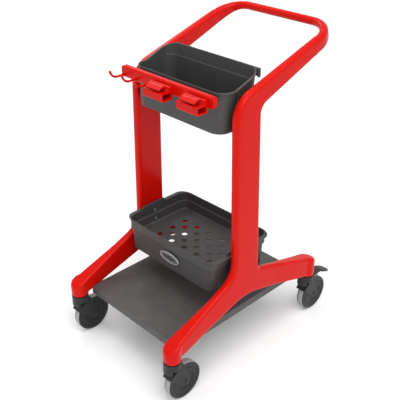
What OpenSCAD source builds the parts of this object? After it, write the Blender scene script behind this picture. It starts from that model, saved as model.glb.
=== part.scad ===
/* [Frame] */
// Distance between the front and rear caster axes
wheelbase = 624; // [600:4:660]
// Distance between the left and right caster axes
track = 452; // [440:2:470]
// Height of the underside of the leg ends above the floor
leg_end_z = 158; // [154:1:162]
// Distance from the front caster axes back to the middle of the uprights
setback = 308; // [290:2:320]
// Thickness of the side frames
plate_t = 27; // [24:1:30]
// Inward lean of the side frames
lean = 1.12; // [0.6:0.02:1.4]
// Diameter of the round leg ends
leg_end_d = 55; // [50:1:58]
// Height of the centre of the handle bar above the floor
handle_z = 1002; // [998:1:1006]
// Diameter of the handle bar
handle_d = 25; // [24:0.5:26]

/* [Shelf] */
// Height of the top of the shelf above the floor
shelf_z = 180; // [176:1:184]
// Depth of the turned-down edge of the shelf
shelf_edge = 25; // [18:1:26]
// Width of the shelf
shelf_w = 414; // [400:1:414]
// Length of the shelf
shelf_l = 560; // [500:10:570]

/* [Tray] */
// Width of the upper tray at its rim
tray_w = 374; // [364:1:376]
// Length of the upper tray from front to back
tray_l = 154; // [140:1:160]
// Height of the underside of the upper tray above the floor
tray_z = 777; // [765:1:790]
// Height of the front rim of the upper tray above the floor
tray_front_z = 900; // [890:1:906]
// Height of the rear rim of the upper tray above the floor
tray_rear_z = 940; // [930:1:950]
// Thickness of the tray walls
tray_wall = 3; // [2.5:0.5:4]

/* [Basket] */
// Width of the lower basket over its end flanges
basket_w = 412; // [404:1:416]
// Length of the lower basket from front to back
basket_l = 265; // [240:1:270]
// Height of the basket's rim above the floor
basket_rim_z = 387; // [380:1:395]
// Depth of the basket
basket_h = 111; // [100:1:115]
// Diameter of the drain holes
drain_d = 19; // [14:1:20]
// Step between rows of drain holes
drain_step = 29; // [28:0.5:30]

/* [Casters] */
// Diameter of the wheels
wheel_d = 125; // [125:1:126]
// Width of the wheels
wheel_w = 26; // [24:1:28]
// Distance from the swivel axis back to the wheel axle
trail = 39; // [36:1:42]
// Radial running clearance of pins and stems
clearance = 0.05; // [0.03:0.01:0.08]

/* [Tool rail] */
// Length of the rail over its end caps
rail_l = 380; // [374:1:386]
// Height of the rail's face
rail_h = 36; // [32:1:40]
// Width of one tool clip
clip_w = 80; // [70:1:84]

/* [Hidden] */
$fn = 64;
RED = "#d8201c";
GREY = "#454543";
BLACK = "#161616";
PALE = "#8a8a88";
STEEL = "#a9abad";

// Wheels and casters
wheel_r = wheel_d / 2;
pedal_reach = 116;
stem_r = 6;
stem_head_r = 10;
fork_w = wheel_w + 12;
arch_w = wheel_w + 4;
arch_r = wheel_r + 3;
axle_r = 4;
boss_r = 15;
skirt_z = 134;
pedal_pivot = [34, 142];
pedal_pin_r = 3;

// Places along the cart: the origin is at the middle of the overall length and width, on the floor
leg_end_r = leg_end_d / 2;
length = leg_end_r + wheelbase + pedal_reach;
front_y = leg_end_r - length / 2;
rear_y = front_y + wheelbase;
post_y = front_y + setback;
rear_u = wheelbase - setback;

// Side outline of a frame, measured from the middle of its upright
post_front = -51;
post_rear = 48;
post_rear_low = 54;
arm_top_0 = 897;
arm_top_slope = 0.314;
arm_low_0 = 827.5;
arm_low_slope = 0.385;
arm_end = 300;
front_top_0 = 343;
front_top_slope = 0.42;
rear_top_0 = 326.6;
rear_top_slope = 0.309;
arch_0 = 239.6;
front_low_slope = 0.28;
leg_low_z = leg_end_z + 5;
front_end_top = front_top_0 - front_top_slope * setback;
rear_end_top = rear_top_0 - rear_top_slope * rear_u;

// Handle: the corners bend from the arms into the bar
handle_r = handle_d / 2;
bend_r = 80;
handle_u = 378;
handle_tilt = atan(arm_top_slope);
spigot_r = 9;
spigot_l = 60;

// Tray, rail and clips, measured from the middle of the uprights
tray_front = -71;
tray_r = 40;
tray_taper = 10 / 163;
rail_front = -102;
rail_x = -10;
rail_t = 17;
rail_z = 901 - rail_h;
rail_gap = tray_front - rail_front - rail_t;
cap_l = 14;
hook_x = [-190, -134, -78];
hook_r = 3.5;
hook_bend = 26;
clip_x = [-17.5, 120.5];
clip_depth = 40;
clip_z = 853;
clip_h = 25;
jaw_pin_r = 2;
jaw_pivot = [rail_front - 7, clip_z + clip_h + 8];

// Basket, measured from the middle of the uprights: a band at the rim stands out over the walls
basket_u = 11.5;
basket_z = basket_rim_z - basket_h;
basket_floor_z = basket_rim_z - 61;
basket_r = 33;
basket_wall = 3;
basket_flange = 12;
basket_band = 32;
basket_step = 3;
basket_half = basket_w / 2 - basket_flange;
basket_taper = 0.075;
band_z = basket_rim_z - basket_band;
wall_half = basket_half - basket_step;
tab_h = 11;
bracket_rear = 40;
screw_u = -11;
screw_r = 2.5;
basket_screw_u = -2;
head_gap = 0.6;
basket_screw_z = [338, 368];
tray_screw_z = [808, 866];

// Ribs under the shelf and their bolts
rib_l = 30;
rib_h = 18;
rib_wall = 3;
shelf_t = 3;
rib_y = [front_y + 66, rear_y - 66];
rib_z = shelf_z - shelf_t - rib_h;
rib_end_x = shelf_w / 2 - shelf_t - 0.1;
flare_l = 60;
bolt_y = [front_y + 43, rear_y - 43];
bolt_z = shelf_z - shelf_t - 3.4;
bolt_r = 2;
bolt_head_r = 3.2;
bolt_end_x = plate_x(bolt_z) + 6;
shelf_y = (front_y + rear_y) / 2 + 3;

// Sections along X, as [y, z] from the place that the module moves them to
rail_mid_z = rail_z + rail_h / 2;
rail_screw_x = [-135, 40, 135];
rail_section = rounded([[rail_front, rail_z, 5], [rail_front + rail_t, rail_z, 3],
                        [rail_front + rail_t, rail_z + rail_h, 5], [rail_front, rail_z + rail_h, 8]]);
hook_z = rail_z + 8;
hook_run = 26;
hook_turn = 75;
jaw_w = 58;
clip_front = rail_front - clip_depth;
clip_section = rounded([[rail_front, clip_z, 0], [rail_front, clip_z + clip_h + 14, 0],
                        [rail_front - 13, clip_z + clip_h + 14, 5], [rail_front - 17, clip_z + clip_h - 1, 4],
                        [clip_front, clip_z + clip_h, 3], [clip_front, clip_z, 5]]);
clip_hollow = rounded([[rail_front - 5, clip_z + 4, 2], [rail_front - 5, clip_z + clip_h - 4, 2],
                       [clip_front + 4, clip_z + clip_h - 4, 2], [clip_front + 4, clip_z + 4, 2]]);
jaw_section = rounded([[0, -2, 0], [0, 3, 0], [-8, 8, 0], [-19, 9, 12],
                       [-33, 1, 1.2], [-33, -3, 1.2], [-19, 4.5, 12], [-8, 2, 0]]);
badge_w = 85;
badge_h = 37;
badge_x = 10;
badge_z = 324;
badge_set = basket_step + (band_z - badge_z) * basket_taper;
flange_w = 344;
flange_h = 26;
flange_reach = 12;
tray_level = 50;
tray_ear = 3;
tray_ear_t = 6;
tray_rim = [[tray_front - 6, tray_front_z], [tray_front + tray_level, tray_front_z],
            [tray_front + tray_l - 6, tray_rear_z - 2], [tray_front + tray_l + 20, tray_rear_z]];
handle_leg = 24;
fork_side = concat(
    [for (w = [0 : 6 : 48]) [trail - (arch_r + 5) * cos(30 + w), wheel_r + (arch_r + 5) * sin(30 + w)]],
    [[-12, skirt_z + 6], [27, skirt_z + 6], [trail + boss_r * cos(20), wheel_r + boss_r * sin(20)],
     [trail, wheel_r], [trail - boss_r * cos(40), wheel_r - boss_r * sin(40)]]);
pedal_ear = [[16, skirt_z], [24, skirt_z + 17], [pedal_pivot.x + 3, pedal_pivot.y + 9],
             [pedal_pivot.x + 9, pedal_pivot.y + 2], [pedal_pivot.x + 7, skirt_z - 6], [16, skirt_z - 6]];
pedal_neck = [[0, -7], [0, 8], [22, 7], [46, 0], [44, -5], [24, -2], [12, -7]];
pedal_tilt = 22;
pedal_w = 42;
pedal_t = 4.5;
tread_y = 36;
tread_l = (pedal_reach - pedal_pivot.x - tread_y) / cos(pedal_tilt);
pedal_tread = rounded([[-pedal_w / 2, 0, 8], [pedal_w / 2, 0, 8],
                       [pedal_w / 2, tread_l, 18], [-pedal_w / 2, tread_l, 18]]);
tread_w = wheel_w - 6;
hub_seat = wheel_r - 6;
hub_flange = wheel_r - 1.5;
half_hub = wheel_w / 2;
hub_bore = axle_r + clearance;
hub_side = [[hub_flange, tread_w / 2], [hub_flange, half_hub - 1], [hub_flange - 1, half_hub],
            [hub_flange - 10, half_hub], [hub_flange - 12, half_hub - 3], [hub_flange - 16, half_hub - 3],
            [hub_flange - 18, half_hub - 1], [hub_flange - 24, half_hub - 1], [hub_flange - 27, half_hub - 5],
            [17, half_hub - 6], [15, half_hub], [hub_bore, half_hub]];
hub_section = concat([[hub_seat, -tread_w / 2], [hub_seat, tread_w / 2]], hub_side,
                     [for (i = [len(hub_side) - 1 : -1 : 0]) [hub_side[i].x, -hub_side[i].y]]);
// Half the width of the basket over its walls at height z
function basket_x(z) = basket_half - (z < band_z ? basket_step + (band_z - z) * basket_taper : 0);

// Middle of a side frame's thickness at height z, its inner face, and half the tray's width
function plate_x(z) = track / 2 - 2.4 - tan(lean) * (z - leg_end_z);
function inner_x(z) = plate_x(z) - plate_t / 2 / cos(lean);
function tray_x(z) = tray_w / 2 - (tray_rear_z - z) * tray_taper;

// One corner of an outline, at p between a and b, rounded to radius r
function corner(a, p, b, r) =
    let (u = (a - p) / norm(a - p), v = (b - p) / norm(b - p))
    let (half = acos(u * v) / 2, t = r / tan(half))
    let (c = p + (u + v) / norm(u + v) * r / sin(half))
    let (from = p + u * t - c, to = p + v * t - c)
    let (turn = atan2(from.x * to.y - from.y * to.x, from * to))
    let (steps = max(2, ceil(abs(turn) / 7)))
    [for (i = [0 : steps]) let (w = turn * i / steps)
        c + [from.x * cos(w) - from.y * sin(w), from.x * sin(w) + from.y * cos(w)]];

// An outline of points [x, y, radius], with each corner rounded
function rounded(pts) = [for (i = [0 : len(pts) - 1])
    let (n = len(pts), q = pts[i], a = pts[(i + n - 1) % n], b = pts[(i + 1) % n])
    each (q.z == 0 ? [[q.x, q.y]] : corner([a.x, a.y], [q.x, q.y], [b.x, b.y], q.z))];

frame_outline = rounded([
    [-setback, front_end_top - 2, 0],
    [post_front, front_top_0 + front_top_slope * post_front, 75],
    [post_front, arm_top_0 + arm_top_slope * post_front, 85],
    [arm_end + 18, arm_top_0 + arm_top_slope * (arm_end + 18), 0],
    [arm_end + 24, arm_low_0 + arm_low_slope * arm_end + 32, 0],
    [arm_end + 6, arm_low_0 + arm_low_slope * (arm_end + 6), 16],
    [post_rear, arm_low_0 + arm_low_slope * post_rear, 34],
    [post_rear_low, rear_top_0 - rear_top_slope * post_rear_low, 20],
    [rear_u, rear_end_top - 2, 0],
    [rear_u, leg_low_z, 0],
    [rear_u - 32, leg_low_z + 1, 20],
    [0, arch_0, 200],
    [-182, arch_0 - front_low_slope * 182 - 2, 100],
    [-setback, leg_low_z, 0]]);

// Shapes that repeat
module along_x(profile, x0, x1)
    translate([x0, 0, 0]) rotate([90, 0, 90]) linear_extrude(x1 - x0) polygon(profile);

module rod_x(r, x0, x1) translate([x0, 0, 0]) rotate([0, 90, 0]) cylinder(r = r, h = x1 - x0);

module rounded_rect(w, l, r) {
    square([w - 2 * r, l], center = true);
    square([w, l - 2 * r], center = true);
    for (x = [-1, 1], y = [-1, 1]) translate([x * (w / 2 - r), y * (l / 2 - r)]) circle(r);
}

// A box with round corners that widens from its foot to its rim
module tapered_box(w0, l0, y0, z0, w1, l1, y1, z1, r) {
    hull() for (x = [-1, 1], y = [-1, 1]) {
        translate([x * (w0 / 2 - r), y0 + y * (l0 / 2 - r), z0]) cylinder(r = r, h = 0.1, $fn = 32);
        translate([x * (w1 / 2 - r), y1 + y * (l1 / 2 - r), z1 - 0.1]) cylinder(r = r, h = 0.1, $fn = 32);
    }
}

module mirrored(side) {
    if (side < 0) mirror([1, 0, 0]) children();
    else children();
}

/* Side frames and handle */
module leg_end(y, top) {
    translate([track / 2, y, leg_end_z]) cylinder(r = leg_end_r, h = top - leg_end_z - 6);
    translate([track / 2, y, top - 6]) cylinder(r1 = leg_end_r, r2 = leg_end_r - 6, h = 6);
}

// The plate seen from above: it widens towards each leg end
module leg_plan(margin) {
    wide = leg_end_r - 3 + margin;
    thin = plate_t / 2 + margin;
    for (s = [[-1, setback], [1, rear_u]])
        polygon([[-thin, s.x * (s.y - flare_l)], [thin, s.x * (s.y - flare_l)],
                 [wide, s.x * (s.y - 14)], [wide, s.x * s.y], [-wide, s.x * s.y], [-wide, s.x * (s.y - 14)]]);
}

module side_frame(side) color(RED) mirrored(side) difference() {
    union() {
        translate([plate_x(leg_end_z), post_y, leg_end_z]) rotate([0, -lean, 0])
            translate([0, 0, -leg_end_z]) intersection() {
                along_x(frame_outline, -leg_end_r, leg_end_r);
                union() {
                    linear_extrude(1200) square([plate_t, 900], center = true);
                    linear_extrude(leg_end_z + 120) leg_plan(0);
                }
            }
        leg_end(front_y, front_end_top + 2);
        leg_end(rear_y, rear_end_top + 2);
    }
    for (y = [front_y, rear_y]) translate([track / 2, y, leg_end_z - 1]) cylinder(r = stem_r, h = 46);
    for (y = bolt_y) translate([0, y, bolt_z]) rod_x(bolt_r, 180, bolt_end_x);
    translate([0, post_y, 0]) {
        wall_screw_holes(screw_u, tray_screw_z);
        wall_screw_holes(basket_screw_u, basket_screw_z);
    }
    handle_tube();
}

module side_frame_left() side_frame(-1);
module side_frame_right() side_frame(1);

// The bar, its two bends and the spigots that the arms are bored for
module handle_tube() translate([0, post_y + handle_u, handle_z]) rotate([handle_tilt, 0, 0]) {
    half = plate_x(handle_z) - bend_r;
    rod_x(handle_r, -half, half);
    for (s = [-1, 1]) mirrored(s) translate([half, -bend_r, 0]) {
        rotate_extrude(angle = 90) translate([bend_r, 0]) circle(handle_r);
        translate([bend_r, 1, 0]) rotate([90, 0, 0]) cylinder(r = spigot_r, h = spigot_l + 1);
    }
}

module handle_bar() color(RED) handle_tube();

/* Shelf */
module rib(y) {
    difference() {
        translate([-rib_end_x, y - rib_l / 2, rib_z]) cube([2 * rib_end_x, rib_l, rib_h]);
        translate([-rib_end_x + 4, y - rib_l / 2 + rib_wall, rib_z - 1])
            cube([2 * rib_end_x - 8, rib_l - 2 * rib_wall, rib_h - rib_wall + 1]);
    }
}

module shelf_deck() color(GREY) difference() {
    translate([-shelf_w / 2, shelf_y - shelf_l / 2, shelf_z - shelf_edge])
        cube([shelf_w, shelf_l, shelf_edge]);
    translate([shelf_t - shelf_w / 2, shelf_y - shelf_l / 2 + shelf_t, shelf_z - shelf_edge - 1])
        cube([shelf_w - 2 * shelf_t, shelf_l - 2 * shelf_t, shelf_edge - shelf_t + 1]);
    for (s = [-1, 1]) mirrored(s) translate([plate_x(shelf_z), post_y, 0]) linear_extrude(300) leg_plan(0.9);
    for (y = bolt_y) translate([0, y, bolt_z]) rod_x(bolt_r, -bolt_end_x, bolt_end_x);
}

module shelf_rib_front() color(GREY) rib(rib_y[0]);
module shelf_rib_rear() color(GREY) rib(rib_y[1]);

module shelf_bolts() color(STEEL) for (s = [-1, 1], y = bolt_y) mirrored(s) translate([0, y, bolt_z]) {
    rod_x(bolt_r, rib_end_x - 2, bolt_end_x);
    rod_x(bolt_head_r, rib_end_x - 3, rib_end_x);
}

/* Wall brackets: each fills the space between a tray or basket and its upright */
module wall_screw_holes(u, zs) for (s = [-1, 1], z = zs) mirrored(s) translate([0, u, z])
    rod_x(screw_r, 150, plate_x(z) + 4);

module bracket(side, profile, u, zs) color(BLACK) mirrored(side) translate([0, post_y, 0]) difference() {
    rotate([90, 0, 0]) translate([0, 0, -bracket_rear]) linear_extrude(bracket_rear + 20) polygon(profile);
    wall_screw_holes(u, zs);
}

// Screws through a wall and its bracket into the uprights, with wall faces at xs
module wall_screws(u, zs, xs) color(STEEL) for (s = [-1, 1], i = [0, 1]) mirrored(s)
    translate([0, post_y + u, zs[i]]) {
        rod_x(screw_r, xs[i] - 1, plate_x(zs[i]) + 3);
        rod_x(2 * screw_r, xs[i] - 3, xs[i] - 0.2);
    }

/* Upper tray */
module upper_tray() color(GREY) translate([0, post_y, 0]) difference() {
    union() {
        tray_body(0, tray_z, 0);
        tray_ears();
    }
    tray_body(2 * tray_wall, tray_z + tray_wall, 2);
    intersection() {
        tray_body(2 * tray_wall, tray_z + tray_wall, 0);
        translate([-tray_w, -tray_l, tray_rear_z - 38]) cube([2 * tray_w, 2 * tray_l, 100]);
    }
    along_x(concat(tray_rim, [[tray_l, tray_rear_z + 60], [-tray_l, tray_rear_z + 60], [-tray_l, tray_front_z]]),
            -tray_w, tray_w);
    wall_screw_holes(screw_u, tray_screw_z);
    for (x = rail_screw_x) translate([x, 0, rail_mid_z]) rotate([90, 0, 0]) cylinder(r = screw_r, h = tray_l);
}

// Flanges along the two ends of the rim
module tray_ears() intersection() {
    along_x(concat(tray_rim, [for (i = [len(tray_rim) - 1 : -1 : 0]) tray_rim[i] - [0, tray_ear_t]]),
            -tray_w, tray_w);
    translate([0, tray_front + tray_l / 2, tray_front_z - 20]) linear_extrude(80) difference() {
        rounded_rect(tray_w + 2 * tray_ear, tray_l - 0.2, 24);
        rounded_rect(tray_w - 8, tray_l - 8, tray_r - 4);
        square([tray_w - 2 * tray_r, 2 * tray_l], center = true);
    }
}

// The tray's outer shape, drawn in by inset, with its foot at z0 and its rear wall thicker by step
module tray_body(inset, z0, step) {
    l0 = tray_l - 10;
    tapered_box(2 * tray_x(z0) - inset, l0 - inset - step, tray_front + l0 / 2 - step / 2, z0,
                tray_w - inset, tray_l - inset - step, tray_front + tray_l / 2 - step / 2, tray_rear_z + 0.2,
                tray_r - inset / 2);
}

module tray_rear_flange() color(GREY)
translate([0, post_y + tray_front + tray_l, tray_rear_z - 6]) difference() {
    translate([-flange_w / 2, -6, -flange_h]) cube([flange_w, flange_reach + 6, flange_h]);
    translate([-flange_w / 2 + 2, -7, -flange_h - 1]) cube([flange_w - 4, flange_reach + 4.5, flange_h - 1.5]);
    translate([-flange_w, -7, -flange_h - 1]) cube([2 * flange_w, 7, flange_h + 3]);
}

module tray_bracket(side) {
    z0 = tray_z + 6;
    z1 = tray_front_z - 12;
    bracket(side, [[tray_x(z0), z0], [inner_x(z0), z0], [inner_x(z1), z1], [tray_x(z1), z1]],
            screw_u, tray_screw_z);
}

module tray_bracket_left() tray_bracket(-1);
module tray_bracket_right() tray_bracket(1);
module tray_screws() wall_screws(screw_u, tray_screw_z, [for (z = tray_screw_z) tray_x(z) - tray_wall]);

/* Tool rail, hooks and clips */
module tool_rail() color(RED) translate([0, post_y, 0]) difference() {
    union() {
        along_x(rail_section, rail_x + cap_l - rail_l / 2, rail_x + rail_l / 2 - cap_l);
        for (x = rail_screw_x) translate([x, tray_front, rail_mid_z]) rotate([90, 0, 0])
            cylinder(r = 9, h = rail_gap + 1);
    }
    for (x = rail_screw_x) translate([x, tray_front + 1, rail_mid_z]) rotate([90, 0, 0])
        cylinder(r = screw_r, h = rail_gap + 10);
    hook_holes();
}

module hook_holes() for (x = hook_x) translate([x, rail_front + 10, hook_z]) rotate([90, 0, 0])
    cylinder(r = hook_r, h = 20);

module rail_caps() color(RED) translate([0, post_y, 0]) difference() {
    for (s = [-1, 1]) translate([rail_x, 0, 0]) mirrored(s) translate([rail_l / 2 - cap_l, 0, 0]) {
        along_x(rail_section, 0, 4);
        translate([4, 0, 0]) intersection() {
            along_x(rail_section, 0, cap_l - 4);
            translate([rail_t / 2 - 14, rail_front + rail_t / 2, rail_mid_z]) rotate([90, 0, 0])
                cylinder(r = rail_h / 2 + 1, h = 2 * rail_t, center = true);
        }
    }
    hook_holes();
}

module rail_screws() color(STEEL) for (x = rail_screw_x) translate([x, post_y + tray_front, rail_mid_z])
    rotate([90, 0, 0]) {
        translate([0, 0, -tray_wall]) cylinder(r = screw_r, h = tray_wall + rail_gap + 8);
        translate([0, 0, -tray_wall - 3]) cylinder(r = 2 * screw_r, h = 3);
    }

module rail_hook(x) color(RED) translate([x, post_y, hook_z]) {
    translate([0, rail_front + 8, 0]) rotate([90, 0, 0]) cylinder(r = hook_r, h = hook_run + 8);
    translate([0, rail_front - hook_run, hook_bend]) {
        rotate([0, 90, 180]) rotate_extrude(angle = hook_turn) translate([hook_bend, 0]) circle(hook_r);
        rotate([-hook_turn, 0, 0]) translate([0, 0, -hook_bend]) sphere(hook_r + 1);
    }
}

module rail_hook_1() rail_hook(hook_x[0]);
module rail_hook_2() rail_hook(hook_x[1]);
module rail_hook_3() rail_hook(hook_x[2]);

module clip_body(x) color(RED) translate([x, post_y, 0]) difference() {
    along_x(clip_section, -clip_w / 2, clip_w / 2);
    along_x(clip_hollow, -clip_w / 2 + 4, clip_w / 2 + 1);
    translate([0, jaw_pivot.x, jaw_pivot.y]) rod_x(7.3, -jaw_w / 2 - 0.4, jaw_w / 2 + 0.4);
    translate([-jaw_w / 2 - 0.4, jaw_pivot.x - 14, jaw_pivot.y + 0.5]) cube([jaw_w + 0.8, 14, 12]);
    translate([0, jaw_pivot.x, jaw_pivot.y]) rod_x(jaw_pin_r, -clip_w, clip_w);
}

module clip_jaw(x) color(RED) translate([x, post_y + jaw_pivot.x, jaw_pivot.y]) difference() {
    union() {
        rod_x(6, -jaw_w / 2, jaw_w / 2);
        along_x(jaw_section, -jaw_w / 2, jaw_w / 2);
    }
    rod_x(jaw_pin_r + clearance, -jaw_w, jaw_w);
}

module clip_pin(x) color(STEEL) translate([x, post_y + jaw_pivot.x, jaw_pivot.y])
    rod_x(jaw_pin_r, 2 - clip_w / 2, clip_w / 2 - 2);

module clip_body_1() clip_body(clip_x[0]);
module clip_jaw_1() clip_jaw(clip_x[0]);
module clip_pin_1() clip_pin(clip_x[0]);
module clip_body_2() clip_body(clip_x[1]);
module clip_jaw_2() clip_jaw(clip_x[1]);
module clip_pin_2() clip_pin(clip_x[1]);

/* Lower basket */
module basket_walls(inset, z0) tapered_box(
    2 * basket_x(z0) - inset, 2 * basket_x(z0) - inset + basket_l - 2 * basket_half, 0, z0,
    2 * wall_half - inset, 2 * wall_half - inset + basket_l - 2 * basket_half, 0, band_z + basket_wall,
    basket_r - inset / 2);

// Flanges at the two ends of the rim, cut back where the uprights stand
module basket_flanges() difference() {
    intersection() {
        rounded_rect(basket_w, basket_l + 2 * basket_flange, basket_r + 1.5 * basket_flange);
        rounded_rect(basket_w + 40, basket_l, 20);
    }
    for (s = [-1, 1]) translate([s * (inner_x(basket_rim_z) + 19), 1 - basket_u])
        square([40, 112], center = true);
}

module lower_basket() color(GREY) translate([0, post_y + basket_u, 0]) difference() {
    union() {
        basket_walls(0, basket_z);
        translate([0, 0, band_z]) linear_extrude(basket_band)
            rounded_rect(2 * basket_half, basket_l, basket_r);
        translate([0, 0, basket_rim_z - 3]) linear_extrude(3) basket_flanges();
        for (s = [-1, 1]) mirrored(s) translate([basket_half - basket_wall, -50 - basket_u, band_z])
            cube([basket_wall + 2, 96, basket_band + tab_h]);
    }
    translate([0, 0, band_z + basket_wall - 0.1]) linear_extrude(80)
        rounded_rect(2 * basket_half - 2 * basket_wall, basket_l - 2 * basket_wall, basket_r - basket_wall);
    basket_walls(2 * basket_wall, basket_floor_z);
    intersection() {
        basket_walls(2 * basket_wall, basket_z - 3);
        translate([-300, -300, basket_z - 10]) cube([600, 600, basket_floor_z - basket_z + 7]);
    }
    for (i = [-4 : 4], j = [-2 : 2]) if ((i + j) % 2 == 0)
        translate([i * drain_step, j * drain_step, basket_floor_z - 5]) cylinder(r = drain_d / 2, h = 10);
    translate([0, -basket_u, 0]) wall_screw_holes(basket_screw_u, basket_screw_z);
}

module basket_badge() color(STEEL) translate([badge_x, post_y + basket_u - basket_l / 2, badge_z])
    rotate([90 + atan(basket_taper), 0, 0]) translate([0, 0, -badge_set]) linear_extrude(3) {
        square([badge_w - badge_h, badge_h], center = true);
        for (s = [-1, 1]) translate([s * (badge_w - badge_h) / 2, 0]) circle(badge_h / 2);
    }

module basket_bracket(side) {
    z0 = basket_z + 16;
    z1 = basket_rim_z - 5;
    bracket(side, [[basket_x(z0), z0], [inner_x(z0), z0], [inner_x(z1), z1], [basket_half + 2, z1],
                   [basket_half + 2, band_z], [wall_half, band_z]], basket_screw_u, basket_screw_z);
}

module basket_bracket_left() basket_bracket(-1);
module basket_bracket_right() basket_bracket(1);
module basket_screws() wall_screws(basket_screw_u, basket_screw_z,
                                   [for (z = basket_screw_z) basket_x(z) - basket_wall - head_gap]);

/* Casters */
module at_caster(c) translate([(c % 2 == 0 ? -1 : 1) * track / 2, c < 2 ? front_y : rear_y, 0]) children();

module caster_stem(c) color(STEEL) at_caster(c) {
    translate([0, 0, skirt_z - 6]) cylinder(r = stem_r, h = leg_end_z + 44 - skirt_z + 6);
    translate([0, 0, leg_end_z - 1]) cylinder(r = 20, h = 1);
    translate([0, 0, skirt_z - 9.6]) cylinder(r = stem_head_r, h = 4);
}

module caster_fork(c) color(GREY) at_caster(c) difference() {
    union() {
        translate([0, 0, skirt_z]) cylinder(r = leg_end_r, h = leg_end_z - 1.3 - skirt_z);
        along_x(fork_side, -fork_w / 2, fork_w / 2);
        translate([0, trail, wheel_r]) rod_x(boss_r, -fork_w / 2, fork_w / 2);
        if (c > 1) along_x(pedal_ear, -fork_w / 2, fork_w / 2);
    }
    translate([0, trail, wheel_r]) rod_x(arch_r, -arch_w / 2, arch_w / 2);
    translate([0, trail, wheel_r]) rod_x(axle_r, -40, 40);
    translate([0, 0, 90]) cylinder(r = stem_r + clearance, h = 100);
    translate([0, 0, skirt_z - 10]) cylinder(r = stem_head_r + 0.4, h = 4.8);
    translate([0, 0, 90]) cylinder(r = stem_head_r + 0.4, h = skirt_z - 99);
    if (c > 1) {
        translate([0, pedal_pivot.x, pedal_pivot.y]) rod_x(9.4, -arch_w / 2, arch_w / 2);
        translate([-arch_w / 2, pedal_pivot.x, pedal_pivot.y - 9.4]) cube([arch_w, 40, 40]);
        translate([0, pedal_pivot.x, pedal_pivot.y]) rod_x(pedal_pin_r, -40, 40);
    }
}

module caster_bumper(c) color(BLACK) at_caster(c) difference() {
    translate([0, 0, skirt_z - 15]) cylinder(r = leg_end_r, h = 15);
    translate([0, 0, skirt_z - 16]) cylinder(r = leg_end_r - 6, h = 17);
    translate([-40, -14, skirt_z - 16]) cube([80, 80, 20]);
    for (s = [-1, 1]) translate([s * 58, -20, skirt_z - 8]) cube([80, 60, 30], center = true);
}

module caster_axle(c) color(STEEL) at_caster(c) translate([0, trail, wheel_r]) {
    rod_x(axle_r, -fork_w / 2 - 1, fork_w / 2 + 1);
    for (s = [-1, 1]) mirrored(s) rod_x(7, fork_w / 2, fork_w / 2 + 2.5);
}

module caster_hub(c) color(GREY) at_caster(c) translate([0, trail, wheel_r]) rotate([0, 90, 0])
    rotate_extrude() polygon(hub_section);

module caster_tyre(c) color(PALE) at_caster(c) translate([0, trail, wheel_r]) rotate([0, 90, 0])
    rotate_extrude() polygon([
        [hub_seat, -tread_w / 2], [wheel_r - 1.5, -tread_w / 2], [wheel_r, 1.5 - tread_w / 2],
        [wheel_r, tread_w / 2 - 1.5], [wheel_r - 1.5, tread_w / 2], [hub_seat, tread_w / 2]]);

module brake_pedal(c) color(GREY) at_caster(c) translate([0, pedal_pivot.x, pedal_pivot.y]) difference() {
    half = arch_w / 2 - 0.8;
    union() {
        rod_x(8, -half, half);
        along_x(pedal_neck, -half, half);
        translate([0, tread_y, 2.5]) rotate([-pedal_tilt, 0, 0]) translate([0, 0, -pedal_t])
            linear_extrude(pedal_t) polygon(pedal_tread);
    }
    rod_x(pedal_pin_r + clearance, -fork_w, fork_w);
}

module brake_pin(c) color(STEEL) at_caster(c) translate([0, pedal_pivot.x, pedal_pivot.y])
    rod_x(pedal_pin_r, -fork_w / 2, fork_w / 2);

side_frame_left();
side_frame_right();
handle_bar();
shelf_deck();
shelf_rib_front();
shelf_rib_rear();
shelf_bolts();
upper_tray();
tray_rear_flange();
tray_bracket_left();
tray_bracket_right();
tray_screws();
tool_rail();
rail_caps();
rail_screws();
rail_hook_1();
rail_hook_2();
rail_hook_3();
clip_body_1();
clip_jaw_1();
clip_pin_1();
clip_body_2();
clip_jaw_2();
clip_pin_2();
lower_basket();
basket_badge();
basket_bracket_left();
basket_bracket_right();
basket_screws();
caster_stem(0);  // caster_fl_stem
caster_fork(0);  // caster_fl_fork
caster_bumper(0);  // caster_fl_bumper
caster_axle(0);  // caster_fl_axle
caster_hub(0);  // caster_fl_hub
caster_tyre(0);  // caster_fl_tyre
caster_stem(1);  // caster_fr_stem
caster_fork(1);  // caster_fr_fork
caster_bumper(1);  // caster_fr_bumper
caster_axle(1);  // caster_fr_axle
caster_hub(1);  // caster_fr_hub
caster_tyre(1);  // caster_fr_tyre
caster_stem(2);  // caster_rl_stem
caster_fork(2);  // caster_rl_fork
caster_bumper(2);  // caster_rl_bumper
caster_axle(2);  // caster_rl_axle
caster_hub(2);  // caster_rl_hub
caster_tyre(2);  // caster_rl_tyre
caster_stem(3);  // caster_rr_stem
caster_fork(3);  // caster_rr_fork
caster_bumper(3);  // caster_rr_bumper
caster_axle(3);  // caster_rr_axle
caster_hub(3);  // caster_rr_hub
caster_tyre(3);  // caster_rr_tyre
brake_pedal(2);  // brake_pedal_rl
brake_pin(2);  // brake_pin_rl
brake_pedal(3);  // brake_pedal_rr
brake_pin(3);  // brake_pin_rr
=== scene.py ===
"""Cleaning cart: the moulded frames, handle, tray, basket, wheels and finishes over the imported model."""

from math import acos, atan, atan2, ceil, cos, pi, radians, sin, tan

import bmesh
import bpy
from bpy.props import FloatProperty, FloatVectorProperty
from mathutils import Matrix, Vector


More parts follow.
